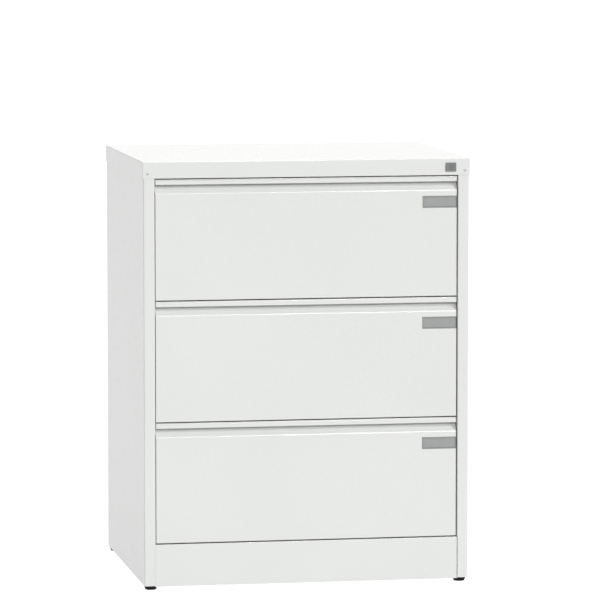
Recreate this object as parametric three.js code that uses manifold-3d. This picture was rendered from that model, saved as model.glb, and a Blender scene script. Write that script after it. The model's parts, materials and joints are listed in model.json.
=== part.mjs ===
import * as THREE from 'three';
import { mergeVertices } from 'three/addons/utils/BufferGeometryUtils.js';
import Module from 'manifold-3d';

// Lateral filing cabinet: a folded sheet steel body with three wide drawers on telescopic
// slides, a lock that holds all three, and four levelling feet. Sizes are in millimetres.
// X runs to the right as seen from the front, Y to the back and Z up from the floor.

// Overall size
const CAP_WIDTH = 803;
const CAP_DEPTH = 660;
const TOTAL_HEIGHT = 1038.5;
const DRAWERS = ['bottom', 'middle', 'top'];

// Sheet and clearances
const SHEET = 1;
const BEND = 1.5; // bend radius at mid thickness
const BEND_STEPS = 3;
const ROUND_STEPS = 24; // sides of a round piece
const SEAT = 0.3; // between fixed pieces that bear on each other
const RUN = 0.3; // between pieces that slide or turn in each other

// Body
const CAP_HEIGHT = 40;
const CAP_OVERHANG = 2; // cap beyond the body at each side
const CAP_EDGE = 1.5; // outer radius of the cap edges
const CAP_LIP = 13; // lower edge of the fascia, folded back
const STILE_WIDTH = 27.2;
const STILE_RETURN = 20; // stile folded back beside the drawers
const REAR_FLANGE = 25;
const TOP_FLANGE = 20;
const PLINTH_HEIGHT = 100.7; // above the underside of the body
const PLINTH_DROP = 1.8; // plinth below the underside of the body
const PLINTH_RECESS = 2; // plinth face behind the stiles
const PLINTH_STEP = 1.7; // stile cut back beside the plinth
const PLINTH_FLANGE = 18;
const BASE_SHEET = 1.5;
const BASE_UPSTAND = 25;
const UPRIGHT_WIDTH = 43;
const UPRIGHT_LIP = 12;
const UPRIGHT_MARGIN = 10; // upright above the foot studs

// Cap screws
const SCREW_INSET = 10.5; // from the side of the body
const SCREW_DROP = 29.5; // below the top
const SCREW_HEAD = 3.2;
const SCREW_HEAD_HEIGHT = 0.8;
const SCREW_SHANK = 2.2;
const SCREW_LENGTH = 10;
const SOCKET_RADIUS = 1.9;
const SOCKET_DEPTH = 2.5;

// Levelling feet
const FOOT_HEIGHT = 10.3; // floor to the underside of the body
const FOOT_RADIUS = 16;
const FOOT_TAPER = 2.5; // foot narrower at the floor
const FOOT_EDGE = 1; // chamfer round the foot
const FOOT_INSET_X = 17.5; // foot centre from the side of the body
const FOOT_INSET_Y = 21; // foot centre from the front or back of the body
const STUD_RADIUS = 4;
const STUD_LENGTH = 30;
const FOOT_NUT_RADIUS = 7.5;
const FOOT_NUT_HEIGHT = 8;

// Drawer fronts
const FRONT_GAP = 2.5; // open joint above and below each drawer front
const SIDE_GAP = 1.8; // open joint beside each drawer front
const FRONT_RECESS = 3.5; // drawer fronts behind the stiles
const FRONT_FLANGE = 14.5; // sides and bottom folded back
const FRONT_EDGE = 2; // radius of the side edges
const FRONT_SEAT = 10; // side flanges folded in over the front of the box
const STRIP_HEIGHT = 13.4; // strip above the finger groove
const STRIP_EDGE = 2.5; // bend radius of its top edge at mid thickness
const STRIP_LIP = 7; // strip folded back at its lower edge
const GRIP_DROP = 35; // crest of the groove below the top of the front
const GRIP_DEPTH = 17.5; // back of the groove behind the face
const GRIP_WALL = 8; // upright back of the groove, below the top
const CREST_RADIUS = 7.5;
const CREST_MARGIN = 4; // flanges and file rails stop this far below the crest

// Label holders
const LABEL_WIDTH = 85.7;
const LABEL_HEIGHT = 29.2;
const LABEL_DROP = 13.2; // top of the label below the crest
const LABEL_RECESS = 0.6; // rim behind the face
const LABEL_POCKET = 2.4; // back plate behind the face
const LABEL_PLATE = 1.2;
const LABEL_RIM = 2;
const LABEL_GAP = 0.7; // rim to the cutout, above and beside it
const LABEL_TONGUE = 4; // back plate beyond the cutout
const CARD = 0.4;

// Slides
const SLIDE_SHEET = 1.2;
const SLIDE_WIDTH = 12.4;
const SLIDE_HEIGHT = 45;
const SLIDE_RISE = 75; // slide centre above the bottom of the front
const SLIDE_SETBACK = 1; // slide behind the front of the upright
const REAR_SPACE = 55; // behind the slides
const OUTER_REACH = 9; // flanges of the fixed member
const MIDDLE_REACH = 10.5; // flanges of the middle member, from the upright
const INNER_START = 3.5; // flanges of the drawer member, from the upright

// Drawer boxes
const BOX_RAISE = 6; // box above the bottom of the front
const BOX_BACK = 2; // box short of the slides at the back
const RAIL_FLANGE = 11; // box edge folded in to carry hanging files
const RAIL_LIP = 8;
const FILE_RAIL_WIDTH = 38;
const FILE_RAIL_HEIGHT = 20;

// Lock
const LOCK_INSET = 18.6; // lock centre from the edge of the stile
const LOCK_RISE = 19.1; // lock centre above the lower edge of the fascia
const BEZEL_WIDTH = 26.2;
const BEZEL_HEIGHT = 21.6;
const BEZEL_EDGE = 1.5;
const BEZEL_THICKNESS = 1.2;
const BARREL_RADIUS = 9;
const LOCK_NUT_RADIUS = 11.5;
const LOCK_NUT_THICKNESS = 4;
const PLUG_RADIUS = 6;
const KEYWAY_WIDTH = 1;
const KEYWAY_HEIGHT = 6;
const KEYWAY_DEPTH = 8;
const LOCK_TRAVEL = 10; // rise of the lock bar over a quarter turn of the plug
const CAM_THICKNESS = 2.5;
const CAM_RIM = 2; // cam beyond its pin
const CAM_GAP = 0.5; // cam to lock bar, and pin to its slot
const PIN_RADIUS = 2;
const BARREL_GAP = 2.5; // barrel short of the cam
const BAR_THICKNESS = 3;
const BAR_SETBACK = 5.5; // lock bar behind the front wall of the upright
const BAR_MARGIN = 3; // lock bar from the walls of the upright
const BAR_TAIL = 20; // lock bar below its lowest tab
const HEAD_MARGIN = 2.5; // lock bar head round the pin slot
const TAB_HEIGHT = 8;
const TAB_REACH = 9; // tab beyond the upright, towards the drawer
const TAB_SLOT = 2; // slot in the upright round the tab
const CATCH_RISE = 50; // catch above the slide
const CATCH_HEIGHT = 10;
const CATCH_REACH = 9;
const CATCH_SHEET = 2;
const CATCH_GAP = 1.5; // catch behind the lock bar, and tab below the catch
const GUIDE_HEIGHT = 20;
const GUIDE_WALL = 4; // guide in front of and behind the lock bar

// Places that follow from the sizes
const half = SHEET / 2;
const capHalf = CAP_WIDTH / 2;
const yCap = -CAP_DEPTH / 2;
const bodyHalf = capHalf - CAP_OVERHANG;
const yFront = yCap + SHEET + SEAT;
const yBack = -yFront;
const bodyTop = TOTAL_HEIGHT - SHEET - SEAT;
const fasciaEdge = TOTAL_HEIGHT - CAP_HEIGHT;
const stileEdge = bodyHalf - STILE_WIDTH;
const wall = bodyHalf - SHEET - SEAT;
const plinthTop = FOOT_HEIGHT + PLINTH_HEIGHT;
const yPlinth = yFront + PLINTH_RECESS;
const yPanel = yBack - SHEET - SEAT;
const baseTop = FOOT_HEIGHT + BASE_SHEET;
const footTop = FOOT_HEIGHT - SEAT;
const studTop = footTop + STUD_LENGTH;
const screwX = bodyHalf - SCREW_INSET;
const screwZ = TOTAL_HEIGHT - SCREW_DROP;

const yFace = yFront + FRONT_RECESS;
const frontHalf = stileEdge - SIDE_GAP;
const frontHeight = (fasciaEdge - plinthTop - FRONT_GAP) / DRAWERS.length - FRONT_GAP;
const crest = frontHeight - GRIP_DROP;
const flangeTop = crest - CREST_MARGIN;
const labelTop = crest - LABEL_DROP;
const labelLeft = frontHalf - LABEL_WIDTH;

const yUpright = yFront + STILE_RETURN + SEAT;
const slideWall = stileEdge - SEAT;
const slideFront = yUpright + SLIDE_SETBACK;
const slideRear = yBack - REAR_SPACE;

const boxHalf = slideWall - SLIDE_WIDTH - SEAT;
const boxFront = FRONT_FLANGE + SEAT;
const boxRear = slideRear - BOX_BACK - yFace;
const railTop = flangeTop;
const boxTop = railTop - RAIL_LIP;

const lockX = stileEdge - LOCK_INSET;
const lockZ = fasciaEdge + LOCK_RISE;
const camRadius = LOCK_TRAVEL / Math.SQRT2;
const pinX = lockX - LOCK_TRAVEL / 2;
const pinZ = lockZ - LOCK_TRAVEL / 2;
const barFront = yUpright + SHEET + BAR_SETBACK;
const barRear = barFront + BAR_THICKNESS;
const barLeft = stileEdge + SHEET + BAR_MARGIN;
const barRight = wall - SHEET - BAR_MARGIN;
const camRear = barFront - CAM_GAP;
const camFront = camRear - CAM_THICKNESS;
const catchZ = SLIDE_RISE + SLIDE_HEIGHT / 2 + CATCH_RISE;
const tabZ = catchZ - CATCH_GAP - TAB_HEIGHT;

const drawerZ = (i) => plinthTop + FRONT_GAP + i * (frontHeight + FRONT_GAP);

const paint = { color: 0xcbccca, roughness: 0.4, metalness: 0 };
const zinc = { color: 0xb8bcbf, roughness: 0.35, metalness: 1 };
const darkMetal = { color: 0x707172, roughness: 0.4, metalness: 0.6 };
const greyPlastic = { color: 0x8f9090, roughness: 0.5, metalness: 0 };
const cardPaper = { color: 0x919292, roughness: 0.8, metalness: 0 };
const blackPlastic = { color: 0x1a1a1b, roughness: 0.6, metalness: 0 };

const wasm = await Module();
wasm.setup();

function toSolid(geometry) {
  const bare = geometry.clone();
  bare.deleteAttribute('normal');
  bare.deleteAttribute('uv');
  const merged = mergeVertices(bare, 1e-4);
  const mesh = new wasm.Mesh({
    numProp: 3,
    vertProperties: merged.attributes.position.array,
    triVerts: new Uint32Array(merged.index.array),
  });
  return new wasm.Manifold(mesh);
}

function toGeometry(solid) {
  const mesh = solid.getMesh();
  const geometry = new THREE.BufferGeometry();
  geometry.setAttribute('position', new THREE.BufferAttribute(mesh.vertProperties, 3));
  geometry.setIndex(new THREE.BufferAttribute(mesh.triVerts, 1));
  geometry.computeVertexNormals();
  return geometry;
}

function join(...pieces) {
  return toGeometry(pieces.map(toSolid).reduce((all, piece) => all.add(piece)));
}

function cut(base, ...tools) {
  return toGeometry(tools.map(toSolid).reduce((left, tool) => left.subtract(tool), toSolid(base)));
}

function common(...pieces) {
  return toGeometry(pieces.map(toSolid).reduce((all, piece) => all.intersect(piece)));
}

function box(x0, x1, y0, y1, z0, z1) {
  const block = new THREE.BoxGeometry(Math.abs(x1 - x0), y1 - y0, z1 - z0);
  return block.translate((x0 + x1) / 2, (y0 + y1) / 2, (z0 + z1) / 2);
}

function rodY(radius, x, z, y0, y1, steps = ROUND_STEPS) {
  const rod = new THREE.CylinderGeometry(radius, radius, y1 - y0, steps);
  return rod.translate(x, (y0 + y1) / 2, z);
}

// Upright rod or cone on the Z axis
function rodZ(lower, upper, z0, z1, steps = ROUND_STEPS) {
  const rod = new THREE.CylinderGeometry(upper, lower, z1 - z0, steps);
  return rod.rotateX(Math.PI / 2).translate(0, 0, (z0 + z1) / 2);
}

const axisX = new THREE.Vector3(1, 0, 0);
const axisY = new THREE.Vector3(0, 1, 0);
const axisZ = new THREE.Vector3(0, 0, 1);

function extrude(points, depth) {
  const shape = new THREE.Shape(points.map(([a, b]) => new THREE.Vector2(a, b)));
  return new THREE.ExtrudeGeometry(shape, { depth, steps: 1, bevelEnabled: false });
}

// Outline drawn in Y and Z
function alongX(points, x0, x1) {
  const turn = new THREE.Matrix4().makeBasis(axisY, axisZ, axisX);
  return extrude(points, x1 - x0).applyMatrix4(turn).translate(x0, 0, 0);
}

// Outline drawn in X and Z
function alongY(points, y0, y1) {
  return extrude(points, y1 - y0).rotateX(Math.PI / 2).translate(0, y1, 0);
}

// Outline drawn in X and Y
function alongZ(points, z0, z1) {
  return extrude(points, z1 - z0).translate(0, 0, z0);
}

// Outline of a sheet folded along a path at mid thickness; a corner may name its own radius
function foldedSheet(path, thickness = SHEET, bend = BEND) {
  const left = [];
  const right = [];
  const put = (point, normal) => {
    left.push(point.clone().addScaledVector(normal, thickness / 2).toArray());
    right.unshift(point.clone().addScaledVector(normal, -thickness / 2).toArray());
  };
  const corners = path.map(([a, b]) => new THREE.Vector2(a, b));
  const along = corners.slice(1).map((corner, i) => corner.clone().sub(corners[i]).normalize());
  const across = along.map((d) => new THREE.Vector2(-d.y, d.x));
  put(corners[0], across[0]);
  for (let i = 1; i < along.length; i += 1) {
    const radius = path[i][2] ?? bend;
    const turn = Math.atan2(along[i - 1].cross(along[i]), along[i - 1].dot(along[i]));
    const reach = radius * Math.tan(Math.abs(turn) / 2);
    const side = Math.sign(turn) * radius;
    const centre = corners[i].clone().addScaledVector(along[i - 1], -reach);
    centre.addScaledVector(across[i - 1], side);
    for (let k = 0; k <= BEND_STEPS; k += 1) {
      const normal = across[i - 1].clone().rotateAround(new THREE.Vector2(), (turn * k) / BEND_STEPS);
      put(centre.clone().addScaledVector(normal, -side), normal);
    }
  }
  put(corners.at(-1), across.at(-1));
  return [...left, ...right];
}

// Rectangle with its own radius at each corner, from lower left and round to upper left
function roundedOutline(a0, a1, b0, b1, radii) {
  const places = [[a0, b0, 1, 1], [a1, b0, -1, 1], [a1, b1, -1, -1], [a0, b1, 1, -1]];
  return places.flatMap(([a, b, da, db], i) => {
    const radius = radii[i];
    if (radius === 0) {
      return [[a, b]];
    }
    return Array.from({ length: BEND_STEPS + 1 }, (_, k) => {
      const angle = Math.PI * (1 + i / 2) + (Math.PI / 2) * (k / BEND_STEPS);
      return [a + radius * (da + Math.cos(angle)), b + radius * (db + Math.sin(angle))];
    });
  });
}

// Block with rounded upright edges and a rounded top
function lid(x, y, z0, z1, radius) {
  return common(
    alongZ(roundedOutline(-x, x, -y, y, [radius, radius, radius, radius]), z0, z1),
    alongY(roundedOutline(-x, x, z0, z1, [0, 0, radius, radius]), -y, y),
    alongX(roundedOutline(-y, y, z0, z1, [0, 0, radius, radius]), -x, x),
  );
}

function topCap() {
  const skirt = cut(
    lid(capHalf, -yCap, fasciaEdge, TOTAL_HEIGHT, CAP_EDGE),
    lid(capHalf - SHEET, -yCap - SHEET, fasciaEdge - SHEET, TOTAL_HEIGHT - SHEET, CAP_EDGE - SHEET),
  );
  const lipHalf = stileEdge - SEAT;
  const lip = box(-lipHalf, lipHalf, yCap + half, yCap + CAP_LIP, fasciaEdge, fasciaEdge + SHEET);
  const screwHoles = [-screwX, screwX].map((x) => {
    return rodY(SCREW_SHANK + SEAT, x, screwZ, yCap - SHEET, yFront);
  });
  const lockHole = rodY(BARREL_RADIUS + SEAT, lockX, lockZ, yCap - SHEET, yFront);
  return cut(join(skirt, lip), lockHole, ...screwHoles);
}

function sidePanel() {
  const section = foldedSheet([
    [bodyHalf - REAR_FLANGE, yBack - half],
    [bodyHalf - half, yBack - half],
    [bodyHalf - half, yFront + half],
    [stileEdge + half, yFront + half],
    [stileEdge + half, yFront + STILE_RETURN],
  ]);
  const edge = SHEET + BEND;
  const flange = box(
    bodyHalf - TOP_FLANGE, bodyHalf - half, yFront + edge, yBack - edge, bodyTop - SHEET, bodyTop,
  );
  const notch = box(
    stileEdge - SHEET, stileEdge + PLINTH_STEP,
    yFront - SHEET, yUpright,
    FOOT_HEIGHT - SHEET, plinthTop + SEAT,
  );
  const rim = TOTAL_HEIGHT - CAP_EDGE - SEAT;
  const trims = [[yFront - SHEET, yFront + edge], [yBack - edge, yBack + SHEET]].map(([y0, y1]) => {
    return box(stileEdge - SHEET, bodyHalf + SHEET, y0, y1, rim, TOTAL_HEIGHT);
  });
  const screwHole = rodY(SCREW_SHANK + SEAT, screwX, screwZ, yFront - SHEET, yFront + edge);
  return cut(join(alongZ(section, FOOT_HEIGHT, bodyTop), flange), notch, screwHole, ...trims);
}

function backPanel() {
  const width = bodyHalf - SHEET - BEND;
  return box(-width, width, yPanel - SHEET, yPanel, FOOT_HEIGHT, bodyTop - SHEET - SEAT);
}

function plinth() {
  const section = foldedSheet([
    [yPlinth + PLINTH_FLANGE, plinthTop - half],
    [yPlinth + half, plinthTop - half],
    [yPlinth + half, FOOT_HEIGHT - PLINTH_DROP],
  ]);
  const end = stileEdge + PLINTH_STEP - SEAT;
  return alongX(section, -end, end);
}

const footPlaces = {
  front_left: [FOOT_INSET_X - bodyHalf, yFront + FOOT_INSET_Y],
  front_right: [bodyHalf - FOOT_INSET_X, yFront + FOOT_INSET_Y],
  rear_left: [FOOT_INSET_X - bodyHalf, yBack - FOOT_INSET_Y],
  rear_right: [bodyHalf - FOOT_INSET_X, yBack - FOOT_INSET_Y],
};

function basePan() {
  const middle = BASE_SHEET / 2;
  const front = yPlinth + SHEET + SEAT + middle;
  const rear = yPanel - SHEET - SEAT - middle;
  const section = foldedSheet([
    [front, FOOT_HEIGHT + BASE_UPSTAND],
    [front, FOOT_HEIGHT + middle],
    [rear, FOOT_HEIGHT + middle],
    [rear, FOOT_HEIGHT + BASE_UPSTAND],
  ], BASE_SHEET);
  const holes = Object.values(footPlaces).map(([x, y]) => {
    return rodZ(STUD_RADIUS + RUN, STUD_RADIUS + RUN, footTop, baseTop + SHEET).translate(x, y, 0);
  });
  return cut(alongX(section, -wall, wall), ...holes);
}

// Right upright with its front at y0
function upright(y0) {
  const y1 = y0 + UPRIGHT_WIDTH;
  const section = foldedSheet([
    [wall - half, y0 + UPRIGHT_LIP],
    [wall - half, y0 + half],
    [stileEdge + half, y0 + half],
    [stileEdge + half, y1 - half],
    [wall - half, y1 - half],
    [wall - half, y1 - UPRIGHT_LIP],
  ]);
  return alongZ(section, studTop + UPRIGHT_MARGIN, fasciaEdge);
}

// Upright with a slot for each tab of the lock bar
function slottedUpright() {
  const slots = DRAWERS.map((_, i) => {
    const z = drawerZ(i) + tabZ;
    return box(
      stileEdge - SHEET, stileEdge + 2 * SHEET,
      barFront - TAB_SLOT, barRear + TAB_SLOT,
      z - TAB_SLOT, z + TAB_HEIGHT + LOCK_TRAVEL + TAB_SLOT,
    );
  });
  return cut(upright(yUpright), ...slots);
}

function capScrew() {
  const rear = yCap - SEAT;
  const front = rear - SCREW_HEAD_HEIGHT;
  const screw = join(
    rodY(SCREW_HEAD, 0, 0, front, rear),
    rodY(SCREW_SHANK, 0, 0, rear - SCREW_HEAD_HEIGHT / 2, yCap + SCREW_LENGTH),
  );
  return cut(screw, rodY(SOCKET_RADIUS, 0, 0, front - SHEET, front + SOCKET_DEPTH, 6));
}

function foot() {
  const sole = FOOT_RADIUS - FOOT_TAPER;
  return join(
    rodZ(sole - FOOT_EDGE, sole, 0, FOOT_EDGE),
    rodZ(sole, FOOT_RADIUS, FOOT_EDGE, footTop - FOOT_EDGE),
    rodZ(FOOT_RADIUS, FOOT_RADIUS - FOOT_EDGE, footTop - FOOT_EDGE, footTop),
    rodZ(STUD_RADIUS, STUD_RADIUS, footTop / 2, studTop - STUD_RADIUS / 4),
    rodZ(STUD_RADIUS, STUD_RADIUS * 0.75, studTop - STUD_RADIUS / 4, studTop),
  );
}

function footNut() {
  const z0 = baseTop + SEAT;
  const z1 = z0 + FOOT_NUT_HEIGHT;
  const bore = rodZ(STUD_RADIUS + RUN, STUD_RADIUS + RUN, z0 - SHEET, z1 + SHEET);
  return cut(rodZ(FOOT_NUT_RADIUS, FOOT_NUT_RADIUS, z0, z1, 6), bore);
}

// Pieces of a drawer are drawn from the bottom of its front, with Y from the face backwards

function drawerFront() {
  const section = foldedSheet([
    [STRIP_LIP, frontHeight - STRIP_HEIGHT + half],
    [half, frontHeight - STRIP_HEIGHT + half],
    [half, frontHeight - half, STRIP_EDGE],
    [GRIP_DEPTH - half, frontHeight - half],
    [GRIP_DEPTH - half, frontHeight - GRIP_WALL],
    [half, crest, CREST_RADIUS],
    [half, half],
    [FRONT_FLANGE, half],
  ]);
  const seatFront = FRONT_FLANGE - SHEET;
  const sides = [-1, 1].flatMap((side) => {
    const outer = side * frontHalf;
    const inner = side * (boxHalf - FRONT_SEAT);
    return [
      box(outer - side * SHEET, outer, half, FRONT_FLANGE, half, flangeTop),
      box(inner, outer - side * half, seatFront, FRONT_FLANGE, half, flangeTop),
    ];
  });
  const plan = roundedOutline(
    -frontHalf, frontHalf, 0, GRIP_DEPTH + SHEET, [FRONT_EDGE, FRONT_EDGE, 0, 0],
  );
  const shaped = common(
    join(alongX(section, -frontHalf, frontHalf), ...sides),
    alongZ(plan, -SHEET, frontHeight + SHEET),
  );
  const cutout = box(
    labelLeft, frontHalf + SHEET,
    -SHEET, LABEL_POCKET + LABEL_PLATE,
    labelTop - LABEL_HEIGHT, labelTop,
  );
  return cut(shaped, cutout);
}

const rimLeft = labelLeft + LABEL_GAP;
const rimRight = frontHalf - SEAT;
const rimTop = labelTop - LABEL_GAP;
const rimBottom = labelTop - LABEL_HEIGHT + SEAT;

function labelHolder() {
  const plateRear = LABEL_POCKET + LABEL_PLATE;
  const plate = box(
    labelLeft - LABEL_TONGUE, frontHalf - SHEET - SEAT,
    LABEL_POCKET, plateRear,
    labelTop - LABEL_HEIGHT - LABEL_TONGUE, labelTop + LABEL_TONGUE,
  );
  const joined = LABEL_POCKET + LABEL_PLATE / 2;
  return join(
    plate,
    box(rimLeft, rimRight, LABEL_RECESS, joined, rimTop - LABEL_RIM, rimTop),
    box(rimLeft, rimRight, LABEL_RECESS, joined, rimBottom, rimBottom + LABEL_RIM),
    box(rimLeft, rimLeft + LABEL_RIM, LABEL_RECESS, joined, rimBottom, rimTop),
  );
}

function labelCard() {
  return box(
    rimLeft + LABEL_RIM + SEAT, rimRight,
    LABEL_POCKET - SEAT - CARD, LABEL_POCKET - SEAT,
    rimBottom + LABEL_RIM + SEAT, rimTop - LABEL_RIM - SEAT,
  );
}

function drawerBox() {
  const lip = boxHalf - RAIL_FLANGE + half;
  const side = boxHalf - half;
  const section = foldedSheet([
    [-lip, railTop],
    [-lip, boxTop - half],
    [-side, boxTop - half],
    [-side, BOX_RAISE + half],
    [side, BOX_RAISE + half],
    [side, boxTop - half],
    [lip, boxTop - half],
    [lip, railTop],
  ]);
  const corner = BEND + half;
  const end = roundedOutline(
    -boxHalf, boxHalf, BOX_RAISE, boxTop, [corner, corner, corner, corner],
  );
  const catchFront = barRear + CATCH_GAP - yFace;
  const catchLug = box(
    side, boxHalf + CATCH_REACH,
    catchFront, catchFront + CATCH_SHEET,
    catchZ, catchZ + CATCH_HEIGHT,
  );
  return join(
    alongY(section, boxFront, boxRear),
    alongY(end, boxFront, boxFront + SHEET),
    alongY(end, boxRear - SHEET, boxRear),
    catchLug,
  );
}

function fileRail() {
  const side = FILE_RAIL_WIDTH / 2 - half;
  const bottom = railTop - FILE_RAIL_HEIGHT + half;
  const section = foldedSheet([[-side, railTop], [-side, bottom], [side, bottom], [side, railTop]]);
  return alongY(section, boxFront + SHEET + SEAT, boxRear - SHEET - SEAT);
}

// Right slide member: a channel with its web at one place across the slide and its flange
// ends at another, both measured from the upright; depth counts how far it nests in the others
function slideMember(web, reach, depth) {
  const middle = SLIDE_SHEET / 2;
  const x = slideWall - web;
  const tip = slideWall - reach;
  const z = SLIDE_HEIGHT / 2 - middle - depth * (SLIDE_SHEET + RUN);
  const section = foldedSheet([[tip, z], [x, z], [x, -z], [tip, -z]], SLIDE_SHEET);
  return alongY(section, slideFront, slideRear);
}

const slideMembers = {
  outer: slideMember(SLIDE_SHEET / 2, OUTER_REACH, 0),
  middle: slideMember(SLIDE_SHEET * 1.5 + RUN, MIDDLE_REACH, 1),
  inner: slideMember(SLIDE_WIDTH - SLIDE_SHEET / 2, INNER_START, 2),
};

// Pieces of the lock

function lockCase() {
  const x = BEZEL_WIDTH / 2;
  const z = BEZEL_HEIGHT / 2;
  const edge = [BEZEL_EDGE, BEZEL_EDGE, BEZEL_EDGE, BEZEL_EDGE];
  const rear = yCap - SEAT;
  const front = rear - BEZEL_THICKNESS;
  const bezel = alongY(roundedOutline(-x, x, -z, z, edge), front, rear);
  const barrel = rodY(BARREL_RADIUS, 0, 0, rear - BEZEL_THICKNESS / 2, camFront - BARREL_GAP);
  return cut(join(bezel, barrel), rodY(PLUG_RADIUS + RUN, 0, 0, front - SHEET, camRear));
}

function lockNut() {
  const front = yCap + SHEET + SEAT;
  const rear = front + LOCK_NUT_THICKNESS;
  const bore = rodY(BARREL_RADIUS + SEAT, 0, 0, front - SHEET, rear + SHEET);
  return cut(rodY(LOCK_NUT_RADIUS, 0, 0, front, rear), bore);
}

function lockPlug() {
  const front = yCap - SEAT - BEZEL_THICKNESS / 2;
  const keyway = box(
    -KEYWAY_WIDTH / 2, KEYWAY_WIDTH / 2,
    front - SHEET, front + KEYWAY_DEPTH,
    -KEYWAY_HEIGHT / 2, KEYWAY_HEIGHT / 2,
  );
  return cut(rodY(PLUG_RADIUS, 0, 0, front, camFront - SEAT), keyway);
}

function lockCam() {
  return join(
    rodY(camRadius + PIN_RADIUS + CAM_RIM, 0, 0, camFront, camRear),
    rodY(PIN_RADIUS, pinX - lockX, pinZ - lockZ, camFront + CAM_THICKNESS / 2, barRear + CAM_GAP),
  );
}

function lockBar() {
  const slotHalf = PIN_RADIUS + CAM_GAP;
  const slotLeft = lockX - camRadius - slotHalf;
  const slotRight = pinX + slotHalf;
  const headHalf = slotHalf + HEAD_MARGIN;
  const tail = drawerZ(0) + tabZ - BAR_TAIL;
  const tabs = DRAWERS.map((_, i) => {
    const z = drawerZ(i) + tabZ;
    return box(stileEdge - TAB_REACH, barLeft + BAR_MARGIN, barFront, barRear, z, z + TAB_HEIGHT);
  });
  const plate = join(
    box(barLeft, barRight, barFront, barRear, tail, pinZ + headHalf),
    box(slotLeft - HEAD_MARGIN, barRight, barFront, barRear, pinZ - headHalf, pinZ + headHalf),
    ...tabs,
  );
  const slot = box(
    slotLeft, slotRight, barFront - SHEET, barRear + SHEET, pinZ - slotHalf, pinZ + slotHalf,
  );
  return cut(plate, slot);
}

// Guide for the lock bar, halfway between the tabs of drawer i and of the one above it
function barGuide(i) {
  const z = (drawerZ(i) + drawerZ(i + 1) + TAB_HEIGHT) / 2 + tabZ;
  const z0 = z - GUIDE_HEIGHT / 2;
  const z1 = z + GUIDE_HEIGHT / 2;
  const block = box(
    stileEdge + SHEET + SEAT, wall - SHEET - SEAT, barFront - GUIDE_WALL, barRear + GUIDE_WALL, z0, z1,
  );
  const window = box(
    barLeft - RUN, barRight + RUN, barFront - RUN, barRear + RUN, z0 - SHEET, z1 + SHEET,
  );
  return cut(block, window);
}

function piece(name, geometry, material) {
  const mesh = new THREE.Mesh(geometry, new THREE.MeshStandardMaterial(material));
  mesh.name = name;
  return mesh;
}

// The same piece on both sides; the left one is mirrored
function pair(nameOf, geometry, material) {
  const right = piece(nameOf('right'), geometry, material);
  const left = piece(nameOf('left'), geometry, material);
  left.scale.x = -1;
  return [left, right];
}

const cabinet = new THREE.Group();
cabinet.name = 'lateral_filing_cabinet';
cabinet.add(
  ...pair((side) => `${side}_side_panel`, sidePanel(), paint),
  piece('back_panel', backPanel(), paint),
  piece('top_cap', topCap(), paint),
  piece('plinth_panel', plinth(), paint),
  piece('base_pan', basePan(), paint),
  piece('front_left_upright', upright(yUpright), zinc),
  piece('front_right_upright', slottedUpright(), zinc),
  ...pair((side) => `rear_${side}_upright`, upright(slideRear - UPRIGHT_WIDTH), zinc),
);
cabinet.getObjectByName('front_left_upright').scale.x = -1;

for (const [side, x] of [['left', -screwX], ['right', screwX]]) {
  const screw = piece(`${side}_cap_screw`, capScrew(), paint);
  screw.position.set(x, 0, screwZ);
  cabinet.add(screw);
}

for (const [place, [x, y]] of Object.entries(footPlaces)) {
  const corner = new THREE.Group();
  corner.position.set(x, y, 0);
  corner.add(
    piece(`${place}_foot`, foot(), blackPlastic),
    piece(`${place}_foot_nut`, footNut(), zinc),
  );
  cabinet.add(corner);
}

DRAWERS.forEach((level, i) => {
  const drawer = new THREE.Group();
  drawer.position.set(0, yFace, drawerZ(i));
  drawer.add(
    piece(`${level}_drawer_front`, drawerFront(), paint),
    piece(`${level}_drawer_box`, drawerBox(), paint),
    piece(`${level}_drawer_file_rail`, fileRail(), zinc),
    piece(`${level}_drawer_label_holder`, labelHolder(), greyPlastic),
    piece(`${level}_drawer_label_card`, labelCard(), cardPaper),
  );
  const slides = new THREE.Group();
  slides.position.set(0, 0, drawerZ(i) + SLIDE_RISE);
  for (const [member, geometry] of Object.entries(slideMembers)) {
    slides.add(...pair((side) => `${level}_${side}_slide_${member}`, geometry, zinc));
  }
  cabinet.add(drawer, slides);
});

const lock = new THREE.Group();
lock.position.set(lockX, 0, lockZ);
lock.add(
  piece('lock_case', lockCase(), darkMetal),
  piece('lock_nut', lockNut(), zinc),
  piece('lock_plug', lockPlug(), darkMetal),
  piece('lock_cam', lockCam(), zinc),
);
cabinet.add(
  lock,
  piece('lock_bar', lockBar(), zinc),
  piece('lock_bar_lower_guide', barGuide(0), blackPlastic),
  piece('lock_bar_upper_guide', barGuide(1), blackPlastic),
);

export default cabinet;
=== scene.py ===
import json
import math

import bmesh
import bpy
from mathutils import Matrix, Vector


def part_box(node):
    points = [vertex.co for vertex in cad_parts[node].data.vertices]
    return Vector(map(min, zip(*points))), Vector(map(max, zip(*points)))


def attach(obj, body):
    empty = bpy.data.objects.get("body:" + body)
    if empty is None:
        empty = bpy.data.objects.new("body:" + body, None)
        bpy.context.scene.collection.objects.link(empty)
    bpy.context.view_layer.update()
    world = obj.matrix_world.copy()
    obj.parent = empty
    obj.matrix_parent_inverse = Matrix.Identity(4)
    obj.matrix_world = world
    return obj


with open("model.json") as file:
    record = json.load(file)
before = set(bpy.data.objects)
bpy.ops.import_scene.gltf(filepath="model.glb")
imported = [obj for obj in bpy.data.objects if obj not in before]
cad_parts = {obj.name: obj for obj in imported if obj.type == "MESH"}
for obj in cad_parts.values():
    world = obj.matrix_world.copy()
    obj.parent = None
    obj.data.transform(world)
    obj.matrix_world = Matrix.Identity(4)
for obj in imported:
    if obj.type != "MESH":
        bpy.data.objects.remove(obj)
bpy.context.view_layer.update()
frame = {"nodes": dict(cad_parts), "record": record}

nodes = frame["nodes"]
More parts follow.
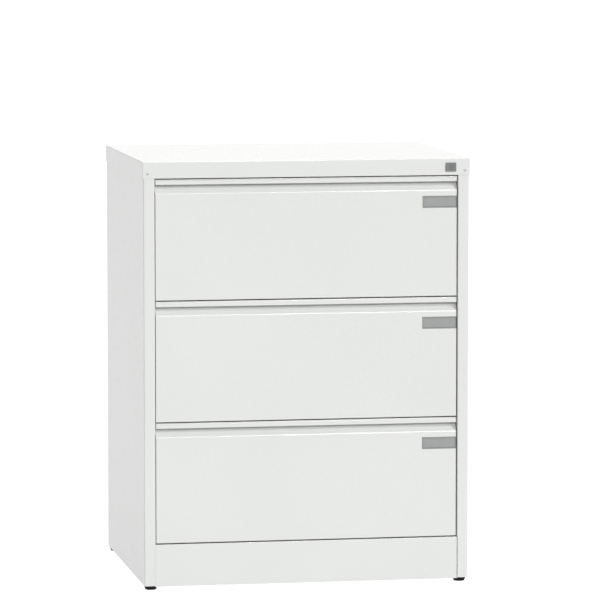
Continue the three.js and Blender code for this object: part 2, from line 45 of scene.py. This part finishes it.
LEVELS = ("top", "middle", "bottom")
WHITE = (1, 1, 1, 1)
MIDDLE = 0.5

# Camera, fitted to the edges of the body in the photograph; angles in degrees
CAMERA_PLACE = (-1.87, -10.6137, 1.7307)
CAMERA_YAW = 10.208
CAMERA_PITCH = 5.633
CAMERA_LEVEL = 90
CAMERA_REACH = 200
LENS = 260.54
SENSOR = 36.0

# Noise: its detail, and where on it a colour leaves its dark tone and reaches its light one
CLOUD_DETAIL = 2.0
GRAIN_DETAIL = 3.0
STREAK_DETAIL = 4.0
TONE_START = 0.3
TONE_END = 0.7

# Paint: a light grey powder coat
PAINT_TONES = ((0.595, 0.605, 0.59), (0.61, 0.62, 0.605))
PAINT_CLOUDS = 3.0
PAINT_GRAIN = 900.0
PAINT_ROUGHNESS = (0.24, 0.32)
PAINT_IOR = 1.6
PAINT_COAT = 0.15
PAINT_COAT_ROUGHNESS = 0.08
PAINT_BUMP = 0.12
PAINT_BUMP_HEIGHT = 0.0002

# Zinc plate, with streaks that run from front to back
ZINC_TONES = ((0.47, 0.49, 0.51), (0.6, 0.62, 0.64))
ZINC_STREAKS = 60.0
ZINC_STRETCH = (14, 0.6, 14)
ZINC_ROUGHNESS = (0.28, 0.42)
ZINC_BUMP = 0.08
ZINC_BUMP_HEIGHT = 0.0001

# Plain finishes: dark tone, light tone, roughness, scale of the grain, shine
PLAIN_FINISHES = {
    "lock_metal": ((0.16, 0.162, 0.165), (0.176, 0.179, 0.181), 0.4, 1200.0, 0.5),
    "label_plastic": ((0.255, 0.26, 0.26), (0.28, 0.285, 0.285), 0.45, 1400.0, 0.5),
    "label_card": ((0.265, 0.27, 0.27), (0.285, 0.29, 0.29), 0.8, 2200.0, 0.5),
    "guide_plastic": ((0.02, 0.02, 0.02), (0.03, 0.03, 0.03), 0.5, 900.0, 0.5),
    "foot_plastic": ((0.004, 0.004, 0.0045), (0.008, 0.008, 0.0085), 0.6, 700.0, 0.15),
}
PLAIN_CLOUDS = 40.0
PLAIN_ROUGHNESS_SPREAD = 0.06
PLAIN_BUMP = 0.15
PLAIN_BUMP_HEIGHT = 0.0001

# Edges of the CAD nodes
EDGE_WIDTH = 0.00025
EDGE_SEGMENTS = 2
EDGE_ANGLE = math.radians(40)
WELD_DISTANCE = 0.000005
LARGE_FACE_WEIGHT = 100

# Fasteners that are too small for the solids; each profile gives radius, height and whether
# the ring is six-sided, from the base to the tip
SHEET = 0.001
STUD_SIDES = 24
HEXAGON_HALF_ANGLE = math.pi / 6
SCREW_RADIUS = 0.0035
SCREW_HEIGHT = 0.002
SCREW_PROFILE = (
    (1.0, -0.1, False), (1.0, 0.3, False), (0.94, 0.62, False), (0.78, 0.88, False),
    (0.55, 1.0, False), (0.5, 1.0, True), (0.46, 0.4, True), (0.05, 0.35, True),
)
RIVET_RADIUS = 0.0032
RIVET_HEIGHT = 0.0011
RIVET_PROFILE = (
    (1.0, -0.1, False), (0.97, 0.25, False), (0.85, 0.6, False), (0.6, 0.88, False),
    (0.3, 0.98, False), (0.05, 1.0, False),
)

# Places of the fasteners: screws by their share of the box's height and of the slide's length
SCREW_INSET = 0.0055
SCREW_SHARES = (0.2, 0.5, 0.8)
SLIDE_SCREW_SHARES = (0.08, 0.5, 0.92)
RIVETS = 8
RIVET_INSET = 0.0125

# Studio: a glowing white floor under an even sky
FLOOR_SIZE = 300.0
FLOOR_GLOW = 1.03
FLOOR_TONES = ((0.06, 0.06, 0.06), (0.07, 0.07, 0.07))
FLOOR_CLOUDS = 0.5
FLOOR_ROUGHNESS = 0.9
SKY = 0.25
# name, direction to the light, width of the light in degrees, strength
LIGHTS = (
    ("key", (0.85, -0.72, 0.3), 10, 0.79),
    ("high", (0.75, -0.6, 0.85), 10, 1.5),
    ("glint", (0.18, -0.855, 0.486), 3, 0.75),
    ("top", (0.0, 0.1, 1.0), 20, 2.5),
    ("back", (0.18, 0.97, 0.2), 20, 0.079),
    ("left", (-0.9, 0.35, 0.25), 30, 0.1),
)


def add_camera():
    """Camera that sees the part as the photograph does."""
    data = bpy.data.cameras.new("camera")
    data.lens = LENS
    data.sensor_width = SENSOR
    data.clip_end = CAMERA_REACH
    camera = bpy.data.objects.new("camera", data)
    camera.location = CAMERA_PLACE
    tilt = math.radians(CAMERA_LEVEL - CAMERA_PITCH)
    camera.rotation_euler = (tilt, 0, math.radians(-CAMERA_YAW))
    bpy.context.scene.collection.objects.link(camera)
    bpy.context.scene.camera = camera


def new_material(name):
    """Empty node material, with its node tree and its shader."""
    material = bpy.data.materials.new(name)
    material.use_nodes = True
    tree = material.node_tree
    return material, tree, tree.nodes["Principled BSDF"]


def noise(tree, scale, detail=CLOUD_DETAIL, stretch=(1, 1, 1)):
    """Noise over the piece's own coordinates, in metres."""
    place = tree.nodes.new("ShaderNodeTexCoord")
    mapping = tree.nodes.new("ShaderNodeMapping")
    mapping.inputs["Scale"].default_value = stretch
    texture = tree.nodes.new("ShaderNodeTexNoise")
    texture.inputs["Scale"].default_value = scale
    texture.inputs["Detail"].default_value = detail
    tree.links.new(place.outputs["Object"], mapping.inputs["Vector"])
    tree.links.new(mapping.outputs["Vector"], texture.inputs["Vector"])
    return texture.outputs["Fac"]


def tones(tree, factor, dark, light, socket):
    """Colours a socket between two close tones."""
    ramp = tree.nodes.new("ShaderNodeValToRGB")
    start, end = ramp.color_ramp.elements
    start.position = TONE_START
    end.position = TONE_END
    start.color = (*dark, 1)
    end.color = (*light, 1)
    tree.links.new(factor, ramp.inputs["Fac"])
    tree.links.new(ramp.outputs["Color"], socket)


def spread(tree, factor, low, high, socket):
    """Varies a number between two values."""
    span = tree.nodes.new("ShaderNodeMapRange")
    span.inputs["To Min"].default_value = low
    span.inputs["To Max"].default_value = high
    tree.links.new(factor, span.inputs["Value"])
    tree.links.new(span.outputs["Result"], socket)


def bump(tree, factor, strength, height, shader):
    """Raises the grain of a finish, to a height in metres."""
    node = tree.nodes.new("ShaderNodeBump")
    node.inputs["Strength"].default_value = strength
    node.inputs["Distance"].default_value = height
    tree.links.new(factor, node.inputs["Height"])
    tree.links.new(node.outputs["Normal"], shader.inputs["Normal"])


def powder_coat():
    """Grey paint with a fine grain under a thin clear coat."""
    material, tree, shader = new_material("powder_coat")
    tones(tree, noise(tree, PAINT_CLOUDS), *PAINT_TONES, shader.inputs["Base Color"])
    grain = noise(tree, PAINT_GRAIN, GRAIN_DETAIL)
    spread(tree, grain, *PAINT_ROUGHNESS, shader.inputs["Roughness"])
    shader.inputs["IOR"].default_value = PAINT_IOR
    shader.inputs["Coat Weight"].default_value = PAINT_COAT
    shader.inputs["Coat Roughness"].default_value = PAINT_COAT_ROUGHNESS
    bump(tree, grain, PAINT_BUMP, PAINT_BUMP_HEIGHT, shader)
    return material


def zinc_plate():
    """Bare metal with rolling streaks."""
    material, tree, shader = new_material("zinc_plate")
    streaks = noise(tree, ZINC_STREAKS, STREAK_DETAIL, ZINC_STRETCH)
    tones(tree, streaks, *ZINC_TONES, shader.inputs["Base Color"])
    shader.inputs["Metallic"].default_value = 1.0
    spread(tree, streaks, *ZINC_ROUGHNESS, shader.inputs["Roughness"])
    bump(tree, streaks, ZINC_BUMP, ZINC_BUMP_HEIGHT, shader)
    return material


def plain_finish(name, dark, light, roughness, grain_scale, shine):
    """Plastic, card or satin paint, with a fine grain."""
    material, tree, shader = new_material(name)
    shader.inputs["Specular IOR Level"].default_value = shine
    grain = noise(tree, grain_scale, GRAIN_DETAIL)
    tones(tree, noise(tree, PLAIN_CLOUDS), dark, light, shader.inputs["Base Color"])
    smoothest = roughness - PLAIN_ROUGHNESS_SPREAD
    roughest = roughness + PLAIN_ROUGHNESS_SPREAD
    spread(tree, grain, smoothest, roughest, shader.inputs["Roughness"])
    bump(tree, grain, PLAIN_BUMP, PLAIN_BUMP_HEIGHT, shader)
    return material


MATERIALS = {"paint": powder_coat(), "zinc_steel": zinc_plate()}
for slot_name, finish in PLAIN_FINISHES.items():
    MATERIALS[slot_name] = plain_finish(slot_name, *finish)


def smooth_group():
    """Node group that shades a mesh smooth but keeps its sharp edges."""
    group = bpy.data.node_groups.new("smooth_by_angle", "GeometryNodeTree")
    group.interface.new_socket("Geometry", in_out="INPUT", socket_type="NodeSocketGeometry")
    group.interface.new_socket("Geometry", in_out="OUTPUT", socket_type="NodeSocketGeometry")
    start = group.nodes.new("NodeGroupInput")
    bare = group.nodes.new("GeometryNodeRemoveAttribute")
    bare.inputs["Name"].default_value = "custom_normal"
    faces = group.nodes.new("GeometryNodeSetShadeSmooth")
    angle = group.nodes.new("GeometryNodeInputMeshEdgeAngle")
    soft = group.nodes.new("FunctionNodeCompare")
    soft.operation = "LESS_THAN"
    soft.inputs["B"].default_value = EDGE_ANGLE
    edges = group.nodes.new("GeometryNodeSetShadeSmooth")
    edges.domain = "EDGE"
    end = group.nodes.new("NodeGroupOutput")
    group.links.new(start.outputs["Geometry"], bare.inputs["Geometry"])
    group.links.new(bare.outputs["Geometry"], faces.inputs["Geometry"])
    group.links.new(faces.outputs["Geometry"], edges.inputs["Geometry"])
    group.links.new(angle.outputs["Unsigned Angle"], soft.inputs["A"])
    group.links.new(soft.outputs["Result"], edges.inputs["Shade Smooth"])
    group.links.new(edges.outputs["Geometry"], end.inputs["Geometry"])
    return group


SMOOTH = smooth_group()


def round_edges(piece):
    """Rounds the sharp edges of a CAD node a little."""
    weld = piece.modifiers.new("weld", "WELD")
    weld.merge_threshold = WELD_DISTANCE
    edge = piece.modifiers.new("edge", "BEVEL")
    edge.width = EDGE_WIDTH
    edge.segments = EDGE_SEGMENTS
    edge.limit_method = "ANGLE"
    edge.angle_limit = EDGE_ANGLE


def shade_bends(piece):
    """Shades bends smooth and keeps the large faces beside them flat."""
    shade = piece.modifiers.new("shade", "NODES")
    shade.node_group = SMOOTH
    normals = piece.modifiers.new("normals", "WEIGHTED_NORMAL")
    normals.keep_sharp = True
    normals.weight = LARGE_FACE_WEIGHT


def dress_nodes():
    """Gives each CAD node its material, its rounded edges and its shading."""
    for row in frame["record"]["subparts"]:
        piece = nodes[row["node"]]
        piece.data.materials.clear()
        piece.data.materials.append(MATERIALS[row["material_slot"]])
        round_edges(piece)
        shade_bends(piece)


def add_stud(mesh, profile, radius, height, place, direction):
    """Adds one round head that stands on a face, with its tip towards a direction."""
    turn = Vector(direction).to_track_quat("Z", "Y").to_matrix()
    rings = []
    for ring_radius, ring_height, six_sided in profile:
        ring = []
        for k in range(STUD_SIDES):
            angle = 2 * math.pi * k / STUD_SIDES
            reach = ring_radius * radius
            if six_sided:
                from_side = angle % (2 * HEXAGON_HALF_ANGLE) - HEXAGON_HALF_ANGLE
                reach *= math.cos(HEXAGON_HALF_ANGLE) / math.cos(from_side)
            local = Vector((reach * math.cos(angle), reach * math.sin(angle), ring_height * height))
            ring.append(mesh.verts.new(Vector(place) + turn @ local))
        rings.append(ring)
    mesh.faces.new(reversed(rings[0]))
    mesh.faces.new(rings[-1])
    for lower, upper in zip(rings, rings[1:]):
        for k in range(STUD_SIDES):
            after = (k + 1) % STUD_SIDES
            mesh.faces.new((lower[k], lower[after], upper[after], upper[k]))


def add_piece(name, mesh, body, slot):
    """Turns a mesh into a piece of the scene that rides on a body."""
    data = bpy.data.meshes.new(name)
    mesh.to_mesh(data)
    mesh.free()
    piece = bpy.data.objects.new(name, data)
    bpy.context.scene.collection.objects.link(piece)
    data.materials.append(MATERIALS[slot])
    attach(piece, body)
    shade_bends(piece)


def between(low, high, share):
    """The place at a share of the way from low to high."""
    return low + (high - low) * share


def add_box_screws(level):
    """Screws from inside a drawer box into its front and into the slides beside it."""
    low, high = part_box(f"{level}_drawer_box")
    slide_low, slide_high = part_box(f"{level}_left_slide_inner")
    slide_z = between(slide_low[2], slide_high[2], MIDDLE)
    wall = low[0] + SHEET
    mesh = bmesh.new()
    for side in (1, -1):
        for share in SCREW_SHARES:
            screw_z = between(low[2], high[2], share)
            place = (side * (low[0] + SCREW_INSET), low[1] + SHEET, screw_z)
            add_stud(mesh, SCREW_PROFILE, SCREW_RADIUS, SCREW_HEIGHT, place, (0, 1, 0))
        for share in SLIDE_SCREW_SHARES:
            place = (side * wall, between(slide_low[1], slide_high[1], share), slide_z)
            add_stud(mesh, SCREW_PROFILE, SCREW_RADIUS, SCREW_HEIGHT, place, (side, 0, 0))
    add_piece(f"{level}_box_screws", mesh, f"{level}_drawer", "zinc_steel")


def add_back_rivets():
    """Rivets that hold the back panel to the flanges of the sides."""
    low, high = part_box("left_side_panel")
    mesh = bmesh.new()
    for side in (1, -1):
        for k in range(RIVETS):
            rivet_z = between(low[2], high[2], (k + MIDDLE) / RIVETS)
            place = (side * (low[0] + RIVET_INSET), high[1], rivet_z)
            add_stud(mesh, RIVET_PROFILE, RIVET_RADIUS, RIVET_HEIGHT, place, (0, 1, 0))
    add_piece("back_rivets", mesh, "carcass", "paint")


def add_floor():
    """White floor that glows, so that it has no end in the picture."""
    bpy.ops.mesh.primitive_plane_add(size=FLOOR_SIZE)
    floor = bpy.context.object
    floor.name = "floor"
    material, tree, shader = new_material("floor")
    tones(tree, noise(tree, FLOOR_CLOUDS), *FLOOR_TONES, shader.inputs["Base Color"])
    shader.inputs["Roughness"].default_value = FLOOR_ROUGHNESS
    shader.inputs["Emission Color"].default_value = WHITE
    shader.inputs["Emission Strength"].default_value = FLOOR_GLOW
    floor.data.materials.append(material)


def add_light(name, direction, width, strength):
    """Distant light that shines from a direction."""
    data = bpy.data.lights.new(name, "SUN")
    data.angle = math.radians(width)
    data.energy = strength
    light = bpy.data.objects.new(name, data)
    light.rotation_euler = Vector(direction).to_track_quat("Z", "Y").to_euler()
    bpy.context.scene.collection.objects.link(light)


def add_studio():
    """Sky and lights round the part."""
    world = bpy.data.worlds.new("studio")
    world.use_nodes = True
    sky = world.node_tree.nodes["Background"]
    sky.inputs["Color"].default_value = WHITE
    sky.inputs["Strength"].default_value = SKY
    bpy.context.scene.world = world
    bpy.context.scene.view_settings.view_transform = "Standard"
    for light in LIGHTS:
        add_light(*light)


add_camera()
dress_nodes()
for level in LEVELS:
    add_box_screws(level)
add_back_rivets()
add_floor()
add_studio()
